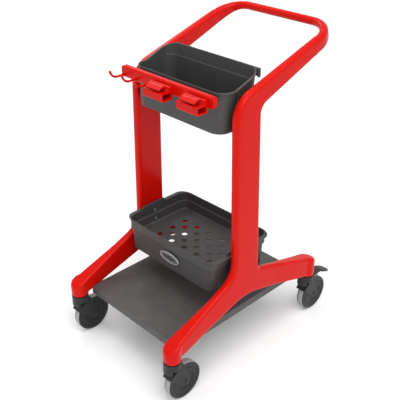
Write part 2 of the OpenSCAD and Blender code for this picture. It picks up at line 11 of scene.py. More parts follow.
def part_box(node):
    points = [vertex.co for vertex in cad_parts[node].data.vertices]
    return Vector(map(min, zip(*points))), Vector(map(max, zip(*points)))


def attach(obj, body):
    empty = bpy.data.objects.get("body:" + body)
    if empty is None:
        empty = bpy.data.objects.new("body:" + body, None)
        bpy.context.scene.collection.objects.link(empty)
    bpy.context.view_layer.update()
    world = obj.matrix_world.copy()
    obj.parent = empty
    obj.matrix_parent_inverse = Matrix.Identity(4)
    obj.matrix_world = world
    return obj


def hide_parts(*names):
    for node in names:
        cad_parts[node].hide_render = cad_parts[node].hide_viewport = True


bl_info = {
    "name": "Cleaning Cart",
    "version": (1, 0, 0),
    "blender": (4, 5, 0),
    "location": "View3D > Sidebar > Cart",
    "description": "Builds a moulded cleaning cart with a tray, a basket and a tool rail",
    "category": "Object",
}

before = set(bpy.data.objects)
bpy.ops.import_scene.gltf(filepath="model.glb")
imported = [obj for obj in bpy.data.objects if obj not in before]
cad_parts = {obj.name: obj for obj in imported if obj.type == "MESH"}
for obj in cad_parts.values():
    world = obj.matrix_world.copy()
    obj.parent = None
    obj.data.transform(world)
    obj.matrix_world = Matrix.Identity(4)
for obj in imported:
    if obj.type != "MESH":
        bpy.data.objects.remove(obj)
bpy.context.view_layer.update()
CASTERS = ("fl", "fr", "rl", "rr")
MM = 0.001


def box_mm(node):
    """Lowest and highest corner of a CAD node, in millimetres."""
    return [Vector(corner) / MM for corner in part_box(node)]


# Places taken from the model, in millimetres
STEM_LOW, STEM_HIGH = box_mm("caster_fr_stem")
FRONT_Y = (STEM_LOW.y + STEM_HIGH.y) / 2
REAR_Y = sum(corner.y for corner in box_mm("caster_rr_stem")) / 2
LEG_X = (STEM_LOW.x + STEM_HIGH.x) / 2
SETBACK = 308
POST_Y = FRONT_Y + SETBACK
REAR_U = REAR_Y - POST_Y
LEG_Z = 158
PLATE_OFFSET = 2.4
WHEEL_LOW, WHEEL_HIGH = box_mm("caster_fr_tyre")
WHEEL_R = (WHEEL_HIGH.z - WHEEL_LOW.z) / 2

# Camera, in metres
CAMERA_PLACE = (1.3934, -1.3869, 1.5730)
CAMERA_AIM = (-0.62199, 0.60944, -0.49164)
CAMERA_LENS = 63.3


# Sizes and colours that can be changed
class CartSizes(bpy.types.PropertyGroup):
    """Sizes of the moulded parts"""

    plate: FloatProperty(name="Frame thickness", description="Thickness of the side frames",
                         default=27 * MM, min=20 * MM, max=32 * MM, unit="LENGTH")
    lean: FloatProperty(name="Frame lean", description="Inward lean of the side frames",
                        default=radians(1.12), min=0, max=radians(3), subtype="ANGLE")
    handle: FloatProperty(name="Handle diameter", description="Diameter of the handle bar",
                          default=25 * MM, min=20 * MM, max=30 * MM, unit="LENGTH")
    voxel: FloatProperty(name="Moulding detail", description="Size of the cells that the frames are blended in",
                         default=3 * MM, min=2 * MM, max=6 * MM, unit="LENGTH")
    edge: FloatProperty(name="Edge rounding", description="Rounding along the edges of the smaller parts",
                        default=1.2 * MM, min=0.2 * MM, max=3 * MM, unit="LENGTH")


def colour_property(name, description, default):
    """A colour that can be changed."""
    return FloatVectorProperty(name=name, description=description, default=default, size=3,
                               min=0, max=1, subtype="COLOR")


class CartColours(bpy.types.PropertyGroup):
    """Colours of the cart's finishes"""

    red: colour_property("Frame red", "Glossy plastic of the frames, rail and handle", (0.57, 0.004, 0.001))
    grey: colour_property("Tray grey", "Moulded plastic of the tray, basket and shelf", (0.046, 0.045, 0.044))
    caster: colour_property("Caster grey", "Plastic of the forks and hubs", (0.013, 0.013, 0.013))
    # On the brackets this near-black also paints the shade in the gaps between the trays and the uprights.
    black: colour_property("Black plastic", "Brackets and bumpers", (0.010, 0.010, 0.010))
    tread: colour_property("Tread grey", "Soft tread of the wheels", (0.33, 0.33, 0.33))
    steel: colour_property("Steel", "Screws, stems and axles", (0.55, 0.55, 0.56))
    badge: colour_property("Badge", "Face of the oval badge", (0.045, 0.045, 0.047))
    badge_rim: colour_property("Badge rim", "Raised border of the oval badge", (0.42, 0.42, 0.42))
    dust: colour_property("Dust", "Dust that settles low down", (0.30, 0.27, 0.23))
    floor: colour_property("Floor", "Studio floor", (0.90, 0.90, 0.90))


# Shader node groups
def effect_group(name, inputs, outputs):
    """A shader node group with sockets given as (name, kind, default)."""
    group = bpy.data.node_groups.new(name, "ShaderNodeTree")
    for label, kind, default in inputs:
        socket = group.interface.new_socket(label, in_out="INPUT", socket_type="NodeSocket" + kind)
        socket.default_value = default
    for label, kind in outputs:
        group.interface.new_socket(label, in_out="OUTPUT", socket_type="NodeSocket" + kind)
    return group, group.nodes.new("NodeGroupInput"), group.nodes.new("NodeGroupOutput")


def math_node(tree, operation, first, second):
    """A math node of two values, each a socket or a number."""
    node = tree.nodes.new("ShaderNodeMath")
    node.operation = operation
    for socket, value in zip(node.inputs, (first, second)):
        if isinstance(value, (int, float)):
            socket.default_value = value
        else:
            tree.links.new(value, socket)
    return node.outputs[0]


def noise_node(tree, scale, detail=2.0, stretch=(1, 1, 1)):
    """Noise over the piece's own coordinates, about one feature for every 1 / scale metres."""
    place = tree.nodes.new("ShaderNodeTexCoord")
    mapping = tree.nodes.new("ShaderNodeMapping")
    mapping.inputs["Scale"].default_value = stretch
    noise = tree.nodes.new("ShaderNodeTexNoise")
    noise.inputs["Detail"].default_value = detail
    tree.links.new(place.outputs["Object"], mapping.inputs["Vector"])
    tree.links.new(mapping.outputs[0], noise.inputs["Vector"])
    if isinstance(scale, (int, float)):
        noise.inputs["Scale"].default_value = scale
    else:
        tree.links.new(scale, noise.inputs["Scale"])
    return noise.outputs["Fac"]


def ranged(tree, value, low, high, to_low=0.0, to_high=1.0):
    """A value carried from one range to another, held at the ends."""
    node = tree.nodes.new("ShaderNodeMapRange")
    node.inputs["From Min"].default_value = low
    node.inputs["From Max"].default_value = high
    node.inputs["To Min"].default_value = to_low
    node.inputs["To Max"].default_value = to_high
    tree.links.new(value, node.inputs["Value"])
    return node.outputs["Result"]


def mixed(tree, factor, first, second):
    """Two colours mixed by a factor."""
    node = tree.nodes.new("ShaderNodeMix")
    node.data_type = "RGBA"
    tree.links.new(factor, node.inputs["Factor"])
    tree.links.new(first, node.inputs["A"])
    tree.links.new(second, node.inputs["B"])
    return node.outputs["Result"]


def moulded_surface():
    """Slight mottling, uneven gloss and a fine grain, as moulded plastic has."""
    group, given, made = effect_group("Moulded surface", [
        ("Color", "Color", (0.5, 0.5, 0.5, 1)), ("Mottle", "Float", 0.06), ("Roughness", "Float", 0.4),
        ("Unevenness", "Float", 0.1), ("Grain Scale", "Float", 700.0)],
        [("Color", "Color"), ("Roughness", "Float"), ("Height", "Float")])
    broad = noise_node(group, 11.0, 4.0)
    shift = math_node(group, "MULTIPLY", math_node(group, "SUBTRACT", broad, 0.5), given.outputs["Mottle"])
    tint = group.nodes.new("ShaderNodeHueSaturation")
    group.links.new(math_node(group, "ADD", shift, 1.0), tint.inputs["Value"])
    group.links.new(given.outputs["Color"], tint.inputs["Color"])
    group.links.new(tint.outputs[0], made.inputs["Color"])
    patch = noise_node(group, 38.0, 5.0)
    uneven = math_node(group, "MULTIPLY", math_node(group, "SUBTRACT", patch, 0.5), given.outputs["Unevenness"])
    group.links.new(math_node(group, "ADD", given.outputs["Roughness"], uneven), made.inputs["Roughness"])
    group.links.new(noise_node(group, given.outputs["Grain Scale"], 3.0), made.inputs["Height"])
    return group


def edge_wear():
    """A lighter, rubbed tone along the edges."""
    group, given, made = effect_group("Edge wear", [
        ("Color", "Color", (0.5, 0.5, 0.5, 1)), ("Worn Color", "Color", (0.7, 0.7, 0.7, 1)),
        ("Amount", "Float", 0.3)], [("Color", "Color"), ("Mask", "Float")])
    shape = group.nodes.new("ShaderNodeNewGeometry")
    edges = ranged(group, shape.outputs["Pointiness"], 0.53, 0.66)
    patchy = ranged(group, noise_node(group, 60.0, 6.0), 0.40, 0.66)
    mask = math_node(group, "MULTIPLY", math_node(group, "MULTIPLY", edges, patchy), given.outputs["Amount"])
    colour = mixed(group, mask, given.outputs["Color"], given.outputs["Worn Color"])
    group.links.new(colour, made.inputs["Color"])
    group.links.new(mask, made.inputs["Mask"])
    return group


def settled_dust():
    """Dust on faces that look up, thicker near the floor."""
    group, given, made = effect_group("Settled dust", [
        ("Color", "Color", (0.5, 0.5, 0.5, 1)), ("Dust Color", "Color", (0.4, 0.37, 0.32, 1)),
        ("Amount", "Float", 0.2), ("Reach", "Float", 0.5)], [("Color", "Color"), ("Mask", "Float")])
    place = group.nodes.new("ShaderNodeTexCoord")
    at = group.nodes.new("ShaderNodeSeparateXYZ")
    facing = group.nodes.new("ShaderNodeSeparateXYZ")
    group.links.new(place.outputs["Object"], at.inputs[0])
    group.links.new(place.outputs["Normal"], facing.inputs[0])
    low = math_node(group, "SUBTRACT", 1.0, math_node(group, "DIVIDE", at.outputs["Z"], given.outputs["Reach"]))
    height = ranged(group, low, 0.0, 1.0)
    upward = ranged(group, facing.outputs["Z"], 0.1, 1.0, 0.25, 1.0)
    patchy = ranged(group, noise_node(group, 24.0, 7.0), 0.35, 0.75)
    mask = math_node(group, "MULTIPLY", math_node(group, "MULTIPLY", height, upward), patchy)
    mask = math_node(group, "MULTIPLY", mask, given.outputs["Amount"])
    colour = mixed(group, mask, given.outputs["Color"], given.outputs["Dust Color"])
    group.links.new(colour, made.inputs["Color"])
    group.links.new(mask, made.inputs["Mask"])
    return group


def drawn_marks():
    """Long fine marks along one direction, as drawn steel and dragged goods leave."""
    group, given, made = effect_group("Drawn marks", [("Amount", "Float", 0.3)], [("Mask", "Float")])
    streaks = ranged(group, noise_node(group, 1.0, 4.0, (18, 420, 420)), 0.48, 0.72)
    group.links.new(math_node(group, "MULTIPLY", streaks, given.outputs["Amount"]), made.inputs["Mask"])
    return group


EFFECTS = {}
FINISHES = {}


def placed(tree, effect, **values):
    """One effect placed in a material, with its values given as numbers, colours or sockets."""
    node = tree.nodes.new("ShaderNodeGroup")
    node.node_tree = EFFECTS[effect]
    for name, value in values.items():
        socket = node.inputs[name.replace("_", " ")]
        if isinstance(value, bpy.types.NodeSocket):
            tree.links.new(value, socket)
        else:
            socket.default_value = value
    return node.outputs


def finish_material(name, colour, roughness, grain=700.0, depth=0.0002, wear=0.2, dust=0.15, reach=0.5,
                    worn=None, marks=0.0, coat=0.0, metal=0.0, mottle=0.08, uneven=0.12, sheen=0.5):
    """A finish built from the shared effects."""
    colours = bpy.context.scene.cart_colours
    material = bpy.data.materials.new(name)
    material.use_nodes = True
    tree = material.node_tree
    shader = tree.nodes["Principled BSDF"]
    base = (*colour, 1)
    lighter = (*(worn or [min(1, 0.12 + 1.3 * part) for part in colour]), 1)
    surface = placed(tree, "moulded", Color=base, Mottle=mottle, Roughness=roughness, Unevenness=uneven,
                     Grain_Scale=grain)
    rubbed = placed(tree, "worn", Color=surface["Color"], Worn_Color=lighter, Amount=wear)
    dusty = placed(tree, "dust", Color=rubbed["Color"], Dust_Color=(*colours.dust, 1), Amount=dust, Reach=reach)
    drawn = placed(tree, "marks", Amount=marks)
    rough = math_node(tree, "ADD", surface["Roughness"], math_node(tree, "MULTIPLY", dusty["Mask"], 0.5))
    rough = math_node(tree, "ADD", rough, math_node(tree, "MULTIPLY", drawn["Mask"], 0.5))
    bump = tree.nodes.new("ShaderNodeBump")
    bump.inputs["Strength"].default_value = 0.5
    bump.inputs["Distance"].default_value = depth
    height = math_node(tree, "SUBTRACT", surface["Height"], drawn["Mask"])
    tree.links.new(height, bump.inputs["Height"])
    tree.links.new(dusty["Color"], shader.inputs["Base Color"])
    tree.links.new(rough, shader.inputs["Roughness"])
    tree.links.new(bump.outputs["Normal"], shader.inputs["Normal"])
    shader.inputs["Metallic"].default_value = metal
    shader.inputs["Coat Weight"].default_value = coat
    shader.inputs["Coat Roughness"].default_value = 0.12
    shader.inputs["Specular IOR Level"].default_value = sheen
    return material


def make_finishes():
    """Every finish that the cart uses, by the name of its slot."""
    colours = bpy.context.scene.cart_colours
    EFFECTS.update(moulded=moulded_surface(), worn=edge_wear(), dust=settled_dust(), marks=drawn_marks())
    FINISHES.update(
        red_plastic=finish_material("red_plastic", colours.red, 0.24, 900.0, 0.00003, wear=0.03, dust=0.0,
                                    reach=0.35, sheen=0.13, uneven=0.06, mottle=0.05, worn=(0.85, 0.03, 0.02)),
        grey_plastic=finish_material("grey_plastic", colours.grey, 0.50, 620.0, 0.0003, wear=0.25, dust=0.10,
                                     marks=0.18, worn=(0.17, 0.165, 0.16)),
        # Painted light: the shelf's finish is the same grey plastic made 1.35 times lighter, a lit copy for the
        # shelf's upward face.
        shelf_plastic=finish_material("shelf_plastic", [1.35 * part for part in colours.grey], 0.55, 620.0,
                                      0.0003, wear=0.25, dust=0.12, marks=0.22, worn=(0.19, 0.185, 0.18)),
        caster_plastic=finish_material("caster_plastic", colours.caster, 0.46, 800.0, 0.0002, wear=0.2,
                                       dust=0.12, reach=0.2, sheen=0.35),
        # Black plastic of the bumpers; on the brackets it also paints the shade in the gaps beside the
        # uprights.
        black_plastic=finish_material("black_plastic", colours.black, 0.55, 500.0, 0.0003, wear=0.15, dust=0.1),
        tread=finish_material("tread", colours.tread, 0.62, 420.0, 0.0004, wear=0.2, dust=0.4, reach=0.16,
                              worn=(0.36, 0.35, 0.34), mottle=0.18),
        steel=finish_material("steel", colours.steel, 0.30, 300.0, 0.0001, wear=0.2, dust=0.1, marks=0.4,
                              metal=1.0),
        badge=finish_material("badge", colours.badge, 0.35, 900.0, 0.0001, wear=0.2, dust=0.1, coat=0.3),
        badge_rim=finish_material("badge_rim", colours.badge_rim, 0.35, 900.0, 0.0001, wear=0.2, dust=0.1,
                                  coat=0.3),
    )


# Making meshes
def add_piece(name, mesh, finish, body, *nodes):
    """A finished piece that rides on a body and stands for the CAD nodes given."""
    piece = bpy.data.objects.new(name, mesh)
    bpy.context.collection.objects.link(piece)
    mesh.materials.clear()
    mesh.materials.append(FINISHES[finish])
    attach(piece, body)
    if nodes:
        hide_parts(*nodes)
    return piece


def mesh_from(name, points, faces):
    """A smooth mesh from points in millimetres, with its faces turned outward."""
    mesh = bpy.data.meshes.new(name)
    mesh.from_pydata([Vector(point) * MM for point in points], [], faces)
    shape = bmesh.new()
    shape.from_mesh(mesh)
    bmesh.ops.remove_doubles(shape, verts=shape.verts, dist=0.01 * MM)
    bmesh.ops.recalc_face_normals(shape, faces=shape.faces)
    shape.to_mesh(mesh)
    shape.free()
    mesh.polygons.foreach_set("use_smooth", [True] * len(mesh.polygons))
    return mesh


def loft(name, rings, capped=(True, True)):
    """Rings of equally many points, joined into a skin."""
    count = len(rings[0])
    points = [point for ring in rings for point in ring]
    faces = []
    for level in range(len(rings) - 1):
        low = level * count
        high = low + count
        for i in range(count):
            j = (i + 1) % count
            faces.append((low + i, low + j, high + j, high + i))
    if capped[0]:
        faces.append(tuple(range(count))[::-1])
    if capped[1]:
        faces.append(tuple(range(len(points) - count, len(points))))
    return mesh_from(name, points, faces)


def oval(half_x, half_y, count):
    """Points round an oval about the origin."""
    return [(half_x * cos(2 * pi * i / count), half_y * sin(2 * pi * i / count)) for i in range(count)]


def joined(name, meshes):
    """One mesh holding several."""
    shape = bmesh.new()
    for mesh in meshes:
        shape.from_mesh(mesh)
    whole = bpy.data.meshes.new(name)
    shape.to_mesh(whole)
    shape.free()
    whole.polygons.foreach_set("use_smooth", [True] * len(whole.polygons))
    return whole


def settled_mesh(source, modifiers):
    """The mesh of an object's data after modifiers given as (type, settings)."""
    maker = bpy.data.objects.new("maker", source)
    bpy.context.collection.objects.link(maker)
    for kind, settings in modifiers:
        modifier = maker.modifiers.new(kind, kind)
        for key, value in settings.items():
            setattr(modifier, key, value)
    graph = bpy.context.evaluated_depsgraph_get()
    mesh = bpy.data.meshes.new_from_object(maker.evaluated_get(graph))
    bpy.data.objects.remove(maker)
    mesh.polygons.foreach_set("use_smooth", [True] * len(mesh.polygons))
    return mesh


def bend_points(before, point, after, radius):
    """One corner of an outline rounded to a radius."""
    first = (before - point).normalized()
    second = (after - point).normalized()
    half = acos(max(-1, min(1, first.dot(second)))) / 2
    centre = point + (first + second).normalized() * radius / sin(half)
    start = point + first * radius / tan(half) - centre
    end = point + second * radius / tan(half) - centre
    turn = atan2(start.x * end.y - start.y * end.x, start.dot(end))
    steps = max(2, ceil(abs(turn) / radians(5)))
    return [centre + Matrix.Rotation(turn * i / steps, 2) @ start for i in range(steps + 1)]


def rounded_outline(corners):
    """An outline of (x, y, radius) with each corner rounded."""
    places = [Vector(corner[:2]) for corner in corners]
    points = []
    for i, corner in enumerate(corners):
        if corner[2]:
            points += bend_points(places[i - 1], places[i], places[(i + 1) % len(places)], corner[2])
        else:
            points.append(places[i])
    return points


def filled_curve(name, outlines, half, bevel, inset=0.0, steps=6):
    """A flat curve of outlines in millimetres, filled, thickened by half each way and rounded by bevel."""
    curve = bpy.data.curves.new(name, "CURVE")
    curve.dimensions = "2D"
    curve.fill_mode = "BOTH"
    curve.bevel_resolution = steps
    curve.bevel_depth = bevel * MM
    curve.extrude = (half - bevel) * MM
    curve.offset = inset * MM
    for outline in outlines:
        spline = curve.splines.new("POLY")
        spline.points.add(len(outline) - 1)
        for point, place in zip(spline.points, outline):
            point.co = (place[0] * MM, place[1] * MM, 0, 1)
        spline.use_cyclic_u = True
    return settled_mesh(curve, [])


def rounded_ring(half_x, half_y, radius, middle_y=0.0, corner=12, side=16):
    """Points (x, y, nx, ny) round a rectangle with round corners, and the outward direction at each."""
    points = []
    signs = ((1, 1), (-1, 1), (-1, -1), (1, -1))
    centres = [Vector((sign_x * (half_x - radius), middle_y + sign_y * (half_y - radius)))
               for sign_x, sign_y in signs]
    for quarter, centre in enumerate(centres):
        for i in range(corner + 1):
            out = Vector((cos(pi / 2 * (quarter + i / corner)), sin(pi / 2 * (quarter + i / corner))))
            points.append((*(centre + radius * out), *out))
        start = Vector(points[-1][:2])
        out = Vector(points[-1][2:])
        last = centres[(quarter + 1) % 4] + radius * out
        points += [(*start.lerp(last, i / side), *out) for i in range(1, side)]
    return points


def plate_x(z, lean):
    """Middle of a side frame's thickness at height z."""
    return LEG_X - PLATE_OFFSET - tan(lean) * (z - LEG_Z)


# Frames and handle: the side outline as (distance behind the uprights' middle, height, corner radius)
FRAME_CORNERS = [(-SETBACK, 211.6, 0), (-51, 321.6, 75), (-51, 881, 85), (302, 991.8, 3),
                 (302, 943.8, 3), (48, 846, 34), (54, 309.9, 20), (REAR_U, 227, 0), (REAR_U, 163, 0),
                 (REAR_U - 32, 164, 20), (0, 239.6, 200), (-182, 186.6, 100), (-SETBACK, 163, 0)]


def leg_head(u, slope, top, lean):
    """The round end of a leg under the slanting top of its frame, upright in the leaning plate's frame."""
    rings = []
    for radius, rise in ((0.5, 0), (25, 0), (27, 1), (27.5, 3)):
        rings.append([(x, u + y, LEG_Z + rise) for x, y in oval(radius, radius, 48)])
    for radius, drop in ((27.5, 10), (27, 6), (25.6, 2.8), (23, 0.9), (19.5, 0.1), (12, 0), (0.5, 0)):
        rings.append([(x, u + y, top + slope * y - drop) for x, y in oval(radius, radius, 48)])
    mesh = loft("leg_head", rings)
    mesh.transform(Matrix.Translation((PLATE_OFFSET * MM, 0, 0)))
    foot = Matrix.Translation((0, 0, LEG_Z * MM))
    mesh.transform(foot @ Matrix.Rotation(lean, 4, "Y") @ foot.inverted())
    return mesh


def leg_flare(sections):
    """The web that widens towards a leg's end, through sections (u, half width, low, high, radius)."""
    rings = []
    for u, half, low, high, radius in sections:
        ring = []
        for i in range(32):
            turn = 2 * pi * (i + 0.5) / 32
            side = 1 if cos(turn) > 0 else -1
            lift = 1 if sin(turn) > 0 else -1
            ring.append((side * (half - radius) + radius * cos(turn), u,
                         (low + high) / 2 + lift * ((high - low) / 2 - radius) + radius * sin(turn)))
        rings.append(ring)
    return loft("leg_flare", rings)


def add_side_frames():
    """The right side frame blended into one skin, and its mirror image."""
    sizes = bpy.context.scene.cart_sizes
    half = sizes.plate / MM / 2
    plate = filled_curve("plate", [rounded_outline(FRAME_CORNERS)], half, 9, -9, 8)
    plate.transform(Matrix(((0, 0, 1, 0), (1, 0, 0, 0), (0, 1, 0, 0), (0, 0, 0, 1))))
    lump = joined("lump", [
        plate, leg_head(-SETBACK, 0.42, 213.6, sizes.lean), leg_head(REAR_U, -0.309, 229, sizes.lean),
        leg_flare([(-140, 13.2, 201, 283, 9), (-182, 15.6, 190, 266, 8), (-230, 18.8, 178.5, 246, 7),
                   (-270, 21.8, 171, 229.2, 6), (-SETBACK, 25, 164, 213.4, 6)]),
        leg_flare([(130, 13.2, 206, 285.5, 9), (180, 16.4, 192.5, 270.5, 8), (230, 19.4, 179, 255, 7),
                   (280, 22.6, 166, 239.6, 6), (REAR_U, 25, 164, 228.8, 6)])])
    skin = settled_mesh(lump, [
        ("REMESH", {"mode": "VOXEL", "voxel_size": sizes.voxel, "use_smooth_shade": True}),
        ("SMOOTH", {"factor": 0.5, "iterations": 8})])
    lean = Matrix.Translation((plate_x(LEG_Z, sizes.lean) * MM, POST_Y * MM, LEG_Z * MM)) @ Matrix.Rotation(
        -sizes.lean, 4, "Y") @ Matrix.Translation((0, 0, -LEG_Z * MM))
    skin.transform(lean)
    other = skin.copy()
    other.transform(Matrix.Scale(-1, 4, (1, 0, 0)))
    other.flip_normals()
    add_piece("frame_skin_right", skin, "red_plastic", "cart", "side_frame_right")
    add_piece("frame_skin_left", other, "red_plastic", "cart", "side_frame_left")


def add_handle():
    """The round bar, its two bends and the ends that deepen into the arms."""
    sizes = bpy.context.scene.cart_sizes
    high = box_mm("handle_bar")[1]
    radius = sizes.handle / MM / 2
    tilt = atan(0.314)
    middle = Vector((0, high.y - radius, high.z - radius))
    bend = 80
    deepening = 21
    arm_taper = 0.07
    blend_angle = radians(72)
    reach = plate_x(middle.z, sizes.lean)
    half = reach - bend
    quarter = [pi / 2 * i / 18 for i in range(19)]
    left = [(-reach, -bend - 12 * i, 0) for i in (4, 3, 2, 1)]
    left += [(-half - bend * cos(a), -bend + bend * sin(a), a) for a in quarter]
    path = left + [(-half + 2 * half * i / 12, 0, pi / 2) for i in range(1, 12)]
    path += [(-x, v, a) for x, v, a in reversed(left)]
    turned = Matrix.Translation(middle) @ Matrix.Rotation(tilt, 4, "X")
    rings = []
    for x, v, a in path:
        share = max(0, 1 - a / blend_angle)
        share = share * share * (3 - 2 * share)
        back = max(0, -bend - v)
        deep = deepening * share + arm_taper * back
        skin = -1.6 if back > 40 else 0.3 * share
        centre = Vector((x, v, 0))
        hub = Vector((max(-half, min(half, x)), min(-bend, v), 0))
        out = (centre - hub).normalized()
        wide = radius + share + skin
        ring = []
        for i in range(40):
            turn = 2 * pi * i / 40
            up = (radius + skin) * sin(turn) - (deep if i > 20 else 0)
            point = turned @ (centre + out * wide * cos(turn) + Vector((0, 0, up)))
            point.x += (1 if x > 0 else -1) * tan(sizes.lean) * (middle.z - point.z) * share
            ring.append(point)
        rings.append(ring)
    add_piece("handle_skin", loft("handle_skin", rings), "red_plastic", "cart", "handle_bar")


# Tray and basket
def tray_rim_z(u):
    """Height of the tray's rim, which climbs towards the back."""
    if u < -24:
        return 900
    if u < -16:
        return 900 + 0.33 * (u + 24) ** 2 / 16
    return min(940, 901.3 + 0.375 * (u + 16))


def add_tray():
    """The tray's skin, outside and inside, with its rim and the step at the back."""
    foot = box_mm("upper_tray")[0].z
    half_x, half_y, middle_y = 177, 72, 1
    rim_half_y, rim_middle_y = 77, 6
    height = 163
    draft_x, draft_y = 10, 5
    roll_from, roll_over = 140, 22
    shape = rounded_ring(half_x, half_y, 40, middle_y)

    def ring(inset, level, reach=0.0, drop=0.0, step=0.0, cap_z=None):
        """A ring at a level from 0 at the foot to 1 at the rim, inset inward; reach is outward at the ends."""
        points = []
        for x0, u0, nx, ny in shape:
            u1 = u0 * rim_half_y / half_y + rim_middle_y - rim_half_y / half_y
            z = foot + level * (tray_rim_z(u1) - foot) - drop
            if cap_z is not None:
                z = min(z, cap_z)
            share = (z - foot) / height
            x = x0 + (draft_x * share if x0 > 0 else -draft_x * share) * min(1, abs(x0) / 100)
            u = u0 + share * (draft_y * (u0 - middle_y) / half_y + draft_y)
            end = min(1, max(0, (abs(x) - roll_from) / roll_over))
            out = reach * end * end * (3 - 2 * end)
            rear = step * min(1, max(0, (ny - 0.2) / 0.6))
            points.append((x + nx * (out - inset), POST_Y + u + ny * (out * 0.35 - rear - inset), z))
        return points

    rings = [ring(inset, 0, drop=-rise) for inset, rise in ((12, 0), (4, 0), (1.8, 0.5), (0.5, 1.8), (0, 4))]
    rings += [ring(0, 0.5), ring(0, 1, drop=8)]
    rings += [ring(inset, 1, reach, drop) for inset, reach, drop in (
        (0, 0.3, 6.4), (0, 3, 6), (0, 3.3, 5.4), (0, 3.3, 1.2), (0.4, 3.3, 0.3), (1.2, 3, 0), (2.4, 0.5, 0),
        (2.9, 0, 0.4), (3, 0, 1.2))]
    rings += [ring(inset, 1, 0, drop, step, cap_z) for inset, drop, step, cap_z in (
        (3, 2, 0, 903.4), (3.4, 2.6, 2.2, 902.4), (3.6, 3.6, 2.6, 901))]
    rings += [ring(3.6, 0.5, step=2.6)]
    rings += [ring(inset, 0, drop=-rise) for inset, rise in (
        (3.8, 12), (4.6, 7), (6.6, 4.3), (10, 3.2), (16, 3))]
    mesh = loft("tray_skin", rings)
    piece = add_piece("tray_skin", mesh, "grey_plastic", "cart", "upper_tray")
    crisp = piece.modifiers.new("Even shading", "WEIGHTED_NORMAL")
    crisp.weight = 60


def add_basket():
    """The basket's wall with its rim band and end flanges, its drilled floor and its two tabs."""
    low, high = box_mm("lower_basket")
    foot = low.z
    rim = foot + 111
    band = rim - 32
    floor = rim - 61
    middle = POST_Y + 11.5
    half_x, half_y, corner_r = 194, 132.5, 33
    wall = 3
    step, taper = 6, 0.04
    flange_w = 12
    upright_half, upright_middle, beside_upright = 62, 0.5, 204.4
    drain_step, drain_r = 29, 9.6

    def draw_in(z):
        """How far the wall stands in from the rim band at height z."""
        return step + (band - z) * taper if z < band else 0

    def ring(offset, z, flange=0.0):
        """A ring offset outward, drawn out at the two ends by a share of the flange."""
        points = []
        for x, y, nx, ny in rounded_ring(half_x, half_y, corner_r, 0, 14, 20):
            wide = flange_w * flange * abs(nx) ** 0.8 * (1 if x > 0 else -1)
            place = x + nx * offset + wide
            beside = min(1, max(0, (upright_half - abs(y - upright_middle)) / 6))
            limit = beside_upright + 3 * (1 - beside)
            place = max(-limit, min(limit, place)) if flange else place
            points.append((place, middle + y + ny * offset, z))
        return points

    rings = [ring(-draw_in(z) - wall, z) for z in (floor - 4, foot + 0.8)]
    rings += [ring(-draw_in(foot) - inset, foot + rise) for inset, rise in ((2.2, 0), (0.7, 0), (0, 0.8))]
    rings += [ring(-draw_in(z), z) for z in (foot + 40, band - 3)]
    rings += [ring(-inset, band + rise) for inset, rise in ((5.9, 0.6), (5.3, 1), (0.6, 0), (0, 0.8), (0, 2))]
    rings += [ring(-inset, rim - drop, flange) for inset, drop, flange in (
        (0, 4.2, 0), (0, 3.2, 0.08), (0, 3, 0.2), (0, 3, 0.94), (0, 2.4, 1), (0, 0.7, 1), (0, 0.1, 0.95),
        (0, 0, 0.85), (0.5, 0, 0.1), (2.3, 0, 0), (2.9, 0.5, 0), (wall, 1.2, 0))]
    rings += [ring(-inset, band + rise) for inset, rise in (
        (wall, 4), (3.4, 3.2), (7.6, 3), (8.6, 2.2), (8.9, 0))]
    rings += [ring(-draw_in(z) - wall, z) for z in (floor + 25, floor + 6)]
    rings += [ring(-draw_in(floor) - inset, floor + rise) for inset, rise in (
        (3.6, 3), (5, 1.2), (8, 0.2), (10, 0.1))]
    skin = loft("basket_wall", rings, capped=(False, False))
    holes = [[(i * drain_step + x, j * drain_step + y) for x, y in oval(drain_r, drain_r, 40)]
             for i in range(-4, 5) for j in range(-2, 3) if (i + j) % 2 == 0]
    edge = draw_in(floor) + 4
    outline = [point[:2] for point in rounded_ring(half_x - edge, half_y - edge, corner_r - edge / 2)]
    base = filled_curve("basket_base", [outline, *holes], 1.6, 0.6, -0.6, 3)
    base.transform(Matrix.Translation((0, middle * MM, (floor - 1.55) * MM)))
    tabs = []
    for tab_x in (-193.4, 193.4):
        corners = [(-50, band + 6, 2), (46, band + 6, 2), (46, high.z, 7), (-50, high.z, 7)]
        tab = filled_curve("basket_tab", [rounded_outline(corners)], 2.9, 0.8, -0.8, 3)
        tab.transform(Matrix(((0, 0, 1, tab_x * MM), (1, 0, 0, POST_Y * MM), (0, 1, 0, 0), (0, 0, 0, 1))))
        tabs.append(tab)
    piece = add_piece("basket_skin", joined("basket_skin", [skin, base, *tabs]), "grey_plastic", "cart",
                      "lower_basket")
    crisp = piece.modifiers.new("Even shading", "WEIGHTED_NORMAL")
    crisp.weight = 60


def add_badge():
    """A smooth oval badge with a raised border and a thin ring inside it."""
    low, high = box_mm("basket_badge")
    centre = (low + high) / 2
    half = Vector(((high.x - low.x) / 2, (high.z - low.z) / 2))

    def outline(inset):
        return oval(half.x - inset, half.y - inset, 72)

    turned = Matrix.Translation((centre.x * MM, (low.y + 1.4) * MM, centre.z * MM)) @ Matrix.Rotation(
        radians(90) + atan(0.075), 4, "X")
    face = filled_curve("badge_face", [outline(1.5)], 1.2, 0.4, -0.4, 3)
    border = joined("badge_border", [
        filled_curve("badge_edge", [outline(0), outline(2.6)], 1.9, 0.7, -0.7, 4),
        filled_curve("badge_line", [outline(7), outline(8.6)], 1.5, 0.3, -0.3, 3)])
    for mesh in (face, border):
        mesh.transform(turned)
    add_piece("badge_face", face, "badge", "cart", "basket_badge")
    add_piece("badge_border", border, "badge_rim", "cart")


